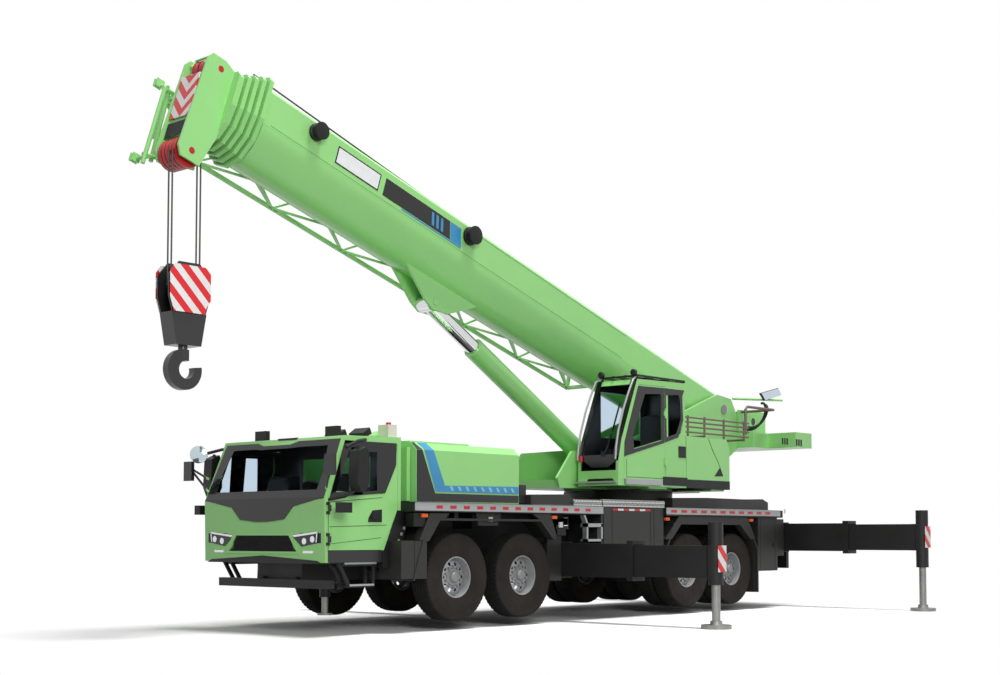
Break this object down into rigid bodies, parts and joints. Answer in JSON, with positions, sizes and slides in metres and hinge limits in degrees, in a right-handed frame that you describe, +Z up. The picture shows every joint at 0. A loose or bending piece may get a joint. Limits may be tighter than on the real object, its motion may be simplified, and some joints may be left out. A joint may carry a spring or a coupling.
{
  "type": "mobile truck crane",
  "caption": "Truck crane standing on its outriggers, telescopic boom raised over the cab, hook block hanging from the boom head.",
  "frame": {"origin": "middle of the bounding box on the ground under the outrigger floats", "axes": "+X forward along the carrier, +Y to its left, +Z up"},
  "size_m": [13.571, 8.31, 7.5095],
  "materials": {
    "green": "gloss",
    "carrier_grey": "satin",
    "glass": "polished",
    "tyre": "matt",
    "interior": "matt",
    "lamp": "clear",
    "steel": "satin",
    "chrome": "polished",
    "sheave": "satin",
    "engine_iron": "rough"
  },
  "bodies": {
    "carrier": {"chassis_frame": "carrier_grey", "deck": "carrier_grey", "mudguards": "carrier_grey", "side_cabinets": "carrier_grey", "engine": "engine_iron", "engine_hood": "green", "axles": "carrier_grey", "driver_cab": "green", "driver_cab_glass": "glass", "driver_cab_interior": "interior", "lamps_and_grille": "lamp"},
    "knuckle_1_left": {"knuckle_1_left": "carrier_grey"},
    "knuckle_1_right": {"knuckle_1_right": "carrier_grey"},
    "knuckle_2_left": {"knuckle_2_left": "carrier_grey"},
    "knuckle_2_right": {"knuckle_2_right": "carrier_grey"},
    "wheel_1_left": {"wheel_1_left": "tyre"},
    "wheel_1_right": {"wheel_1_right": "tyre"},
    "wheel_2_left": {"wheel_2_left": "tyre"},
    "wheel_2_right": {"wheel_2_right": "tyre"},
    "wheel_3_left": {"wheel_3_left": "tyre"},
    "wheel_3_right": {"wheel_3_right": "tyre"},
    "wheel_4_left": {"wheel_4_left": "tyre"},
    "wheel_4_right": {"wheel_4_right": "tyre"},
    "driver_door_left": {"driver_door_left": "green", "driver_door_glass_left": "glass"},
    "driver_door_right": {"driver_door_right": "green", "driver_door_glass_right": "glass"},
    "outrigger_front_left_beam_1": {"outrigger_front_left_beam_1": "carrier_grey"},
    "outrigger_front_left_beam_2": {"outrigger_front_left_beam_2": "carrier_grey"},
    "outrigger_front_left_jack": {"outrigger_front_left_jack": "chrome"},
    "outrigger_front_right_beam_1": {"outrigger_front_right_beam_1": "carrier_grey"},
    "outrigger_front_right_beam_2": {"outrigger_front_right_beam_2": "carrier_grey"},
    "outrigger_front_right_jack": {"outrigger_front_right_jack": "chrome"},
    "outrigger_rear_left_beam_1": {"outrigger_rear_left_beam_1": "carrier_grey"},
    "outrigger_rear_left_beam_2": {"outrigger_rear_left_beam_2": "carrier_grey"},
    "outrigger_rear_left_jack": {"outrigger_rear_left_jack": "chrome"},
    "outrigger_rear_right_beam_1": {"outrigger_rear_right_beam_1": "carrier_grey"},
    "outrigger_rear_right_beam_2": {"outrigger_rear_right_beam_2": "carrier_grey"},
    "outrigger_rear_right_jack": {"outrigger_rear_right_jack": "chrome"},
    "front_jack": {"front_jack": "steel"},
    "superstructure": {"turntable": "green", "superstructure_cabinet": "green", "operator_cab": "green", "operator_cab_glass": "glass", "operator_seat": "interior"},
    "operator_door": {"operator_door": "green", "operator_door_glass": "glass"},
    "winch_drum": {"winch_drum": "carrier_grey"},
    "boom_foot_pin": {"boom_foot_pin": "steel"},
    "boom_base": {"boom_base": "green", "stowed_jib": "green"},
    "boom_section_2": {"boom_section_2": "green"},
    "boom_section_3": {"boom_section_3": "green"},
    "boom_section_4": {"boom_section_4": "green"},
    "boom_section_5": {"boom_section_5": "green", "head_sheaves": "sheave"},
    "lift_rod": {"lift_rod": "chrome"},
    "lift_barrel": {"lift_barrel": "green"},
    "hook": {"hook_block": "green", "hoist_rope_falls": "steel"}
  },
  "joints": [
    {"name": "steer_1_left", "type": "hinge", "parent": "carrier", "child": "knuckle_1_left", "pos_m": [2.77447, 1.12, 0.723], "axis": [0, 0, 1], "range_deg": [-32, 32]},
    {"name": "steer_1_right", "type": "hinge", "parent": "carrier", "child": "knuckle_1_right", "pos_m": [2.77447, -1.12, 0.723], "axis": [0, 0, 1], "range_deg": [-32, 32]},
    {"name": "steer_2_left", "type": "hinge", "parent": "carrier", "child": "knuckle_2_left", "pos_m": [1.37947, 1.12, 0.723], "axis": [0, 0, 1], "range_deg": [-19.2, 19.2]},
    {"name": "steer_2_right", "type": "hinge", "parent": "carrier", "child": "knuckle_2_right", "pos_m": [1.37947, -1.12, 0.723], "axis": [0, 0, 1], "range_deg": [-19.2, 19.2]},
    {"name": "roll_1_left", "type": "hinge", "parent": "knuckle_1_left", "child": "wheel_1_left", "pos_m": [2.77447, 1.12, 0.723], "axis": [0, 1, 0], "continuous": true},
    {"name": "roll_1_right", "type": "hinge", "parent": "knuckle_1_right", "child": "wheel_1_right", "pos_m": [2.77447, -1.12, 0.723], "axis": [0, 1, 0], "continuous": true},
    {"name": "roll_2_left", "type": "hinge", "parent": "knuckle_2_left", "child": "wheel_2_left", "pos_m": [1.37947, 1.12, 0.723], "axis": [0, 1, 0], "continuous": true},
    {"name": "roll_2_right", "type": "hinge", "parent": "knuckle_2_right", "child": "wheel_2_right", "pos_m": [1.37947, -1.12, 0.723], "axis": [0, 1, 0], "continuous": true},
    {"name": "roll_3_left", "type": "hinge", "parent": "carrier", "child": "wheel_3_left", "pos_m": [-2.81053, 1.12, 0.723], "axis": [0, 1, 0], "continuous": true},
    {"name": "roll_3_right", "type": "hinge", "parent": "carrier", "child": "wheel_3_right", "pos_m": [-2.81053, -1.12, 0.723], "axis": [0, 1, 0], "continuous": true},
    {"name": "roll_4_left", "type": "hinge", "parent": "carrier", "child": "wheel_4_left", "pos_m": [-4.16553, 1.12, 0.723], "axis": [0, 1, 0], "continuous": true},
    {"name": "roll_4_right", "type": "hinge", "parent": "carrier", "child": "wheel_4_right", "pos_m": [-4.16553, -1.12, 0.723], "axis": [0, 1, 0], "continuous": true},
    {"name": "driver_door_left", "type": "hinge", "parent": "carrier", "child": "driver_door_left", "pos_m": [5.02247, 1.266, 1.45], "axis": [0, 0, -1], "range_deg": [0, 70]},
    {"name": "driver_door_right", "type": "hinge", "parent": "carrier", "child": "driver_door_right", "pos_m": [5.02247, -1.266, 1.45], "axis": [0, 0, 1], "range_deg": [0, 70]},
    {"name": "outrigger_front_left_slide_1", "type": "slide", "parent": "carrier", "child": "outrigger_front_left_beam_1", "axis": [0, 1, 0], "range_m": [-1.27, 0]},
    {"name": "outrigger_front_left_slide_2", "type": "slide", "parent": "outrigger_front_left_beam_1", "child": "outrigger_front_left_beam_2", "axis": [0, 1, 0], "range_m": [-1.225, 0]},
    {"name": "outrigger_front_left_lift", "type": "slide", "parent": "outrigger_front_left_beam_2", "child": "outrigger_front_left_jack", "axis": [0, 0, 1], "range_m": [0, 0.48]},
    {"name": "outrigger_front_right_slide_1", "type": "slide", "parent": "carrier", "child": "outrigger_front_right_beam_1", "axis": [0, -1, 0], "range_m": [-1.27, 0]},
    {"name": "outrigger_front_right_slide_2", "type": "slide", "parent": "outrigger_front_right_beam_1", "child": "outrigger_front_right_beam_2", "axis": [0, -1, 0], "range_m": [-1.225, 0]},
    {"name": "outrigger_front_right_lift", "type": "slide", "parent": "outrigger_front_right_beam_2", "child": "outrigger_front_right_jack", "axis": [0, 0, 1], "range_m": [0, 0.48]},
    {"name": "outrigger_rear_left_slide_1", "type": "slide", "parent": "carrier", "child": "outrigger_rear_left_beam_1", "axis": [0, 1, 0], "range_m": [-1.27, 0]},
    {"name": "outrigger_rear_left_slide_2", "type": "slide", "parent": "outrigger_rear_left_beam_1", "child": "outrigger_rear_left_beam_2", "axis": [0, 1, 0], "range_m": [-1.225, 0]},
    {"name": "outrigger_rear_left_lift", "type": "slide", "parent": "outrigger_rear_left_beam_2", "child": "outrigger_rear_left_jack", "axis": [0, 0, 1], "range_m": [0, 0.48]},
    {"name": "outrigger_rear_right_slide_1", "type": "slide", "parent": "carrier", "child": "outrigger_rear_right_beam_1", "axis": [0, -1, 0], "range_m": [-1.27, 0]},
    {"name": "outrigger_rear_right_slide_2", "type": "slide", "parent": "outrigger_rear_right_beam_1", "child": "outrigger_rear_right_beam_2", "axis": [0, -1, 0], "range_m": [-1.225, 0]},
    {"name": "outrigger_rear_right_lift", "type": "slide", "parent": "outrigger_rear_right_beam_2", "child": "outrigger_rear_right_jack", "axis": [0, 0, 1], "range_m": [0, 0.48]},
    {"name": "front_jack_lift", "type": "slide", "parent": "carrier", "child": "front_jack", "axis": [0, 0, 1], "range_m": [-0.2, 0.12]},
    {"name": "slew", "type": "hinge", "parent": "carrier", "child": "superstructure", "pos_m": [-2.72553, 0, 2.06], "axis": [0, 0, 1], "continuous": true},
    {"name": "operator_door", "type": "hinge", "parent": "superstructure", "child": "operator_door", "pos_m": [-2.09853, 1.466, 2.9], "axis": [0, 0, 1], "range_deg": [0, 75]},
    {"name": "winch_turn", "type": "hinge", "parent": "superstructure", "child": "winch_drum", "pos_m": [-6.14553, 0, 3.44], "axis": [0, 1, 0], "continuous": true},
    {"name": "boom_lowering", "type": "hinge", "parent": "superstructure", "child": "boom_foot_pin", "pos_m": [-5.22553, 0, 3.62], "axis": [0, -1, 0], "range_deg": [-17.3, 0]},
    {"name": "boom_luff", "type": "hinge", "parent": "boom_foot_pin", "child": "boom_base", "pos_m": [-5.22553, 0, 3.62], "axis": [0, -1, 0], "range_deg": [0, 62.7]},
    {"name": "telescope_2", "type": "slide", "parent": "boom_base", "child": "boom_section_2", "axis": [0.9548, 0, 0.2974], "range_m": [0, 9]},
    {"name": "telescope_3", "type": "slide", "parent": "boom_section_2", "child": "boom_section_3", "axis": [0.9548, 0, 0.2974], "range_m": [0, 9]},
    {"name": "telescope_4", "type": "slide", "parent": "boom_section_3", "child": "boom_section_4", "axis": [0.9548, 0, 0.2974], "range_m": [0, 9]},
    {"name": "telescope_5", "type": "slide", "parent": "boom_section_4", "child": "boom_section_5", "axis": [0.9548, 0, 0.2974], "range_m": [0, 9]},
    {"name": "lift_rod_turn", "type": "hinge", "parent": "boom_base", "child": "lift_rod", "pos_m": [1.97117, 0, 4.79319], "axis": [0, -1, 0], "range_deg": [-8, 0]},
    {"name": "lift_barrel_slide", "type": "slide", "parent": "lift_rod", "child": "lift_barrel", "axis": [-0.8653, 0, -0.5013], "range_m": [0, 3.2]},
    {"name": "hook_plumb", "type": "hinge", "parent": "boom_section_5", "child": "hook", "pos_m": [6.47553, 0, 6.16996], "axis": [0, -1, 0], "range_deg": [-62.7, 0]}
  ],
  "couplings": [
    {"joint": "steer_1_right", "follows": "steer_1_left", "ratio": 1},
    {"joint": "steer_2_left", "follows": "steer_1_left", "ratio": 0.6},
    {"joint": "steer_2_right", "follows": "steer_1_left", "ratio": 0.6},
    {"joint": "outrigger_front_left_slide_2", "follows": "outrigger_front_left_slide_1", "ratio": 0.96457},
    {"joint": "outrigger_front_right_slide_2", "follows": "outrigger_front_right_slide_1", "ratio": 0.96457},
    {"joint": "outrigger_rear_left_slide_2", "follows": "outrigger_rear_left_slide_1", "ratio": 0.96457},
    {"joint": "outrigger_rear_right_slide_2", "follows": "outrigger_rear_right_slide_1", "ratio": 0.96457},
    {"joint": "telescope_3", "follows": "telescope_2", "ratio": 1},
    {"joint": "telescope_4", "follows": "telescope_2", "ratio": 1},
    {"joint": "telescope_5", "follows": "telescope_2", "ratio": 1},
    {"joint": "lift_rod_turn", "follows": "boom_lowering", "ratio": 0.44},
    {"joint": "lift_barrel_slide", "follows": "boom_luff", "m_per_rad": 2.8476},
    {"joint": "hook_plumb", "follows": "boom_luff", "ratio": -1}
  ]
}
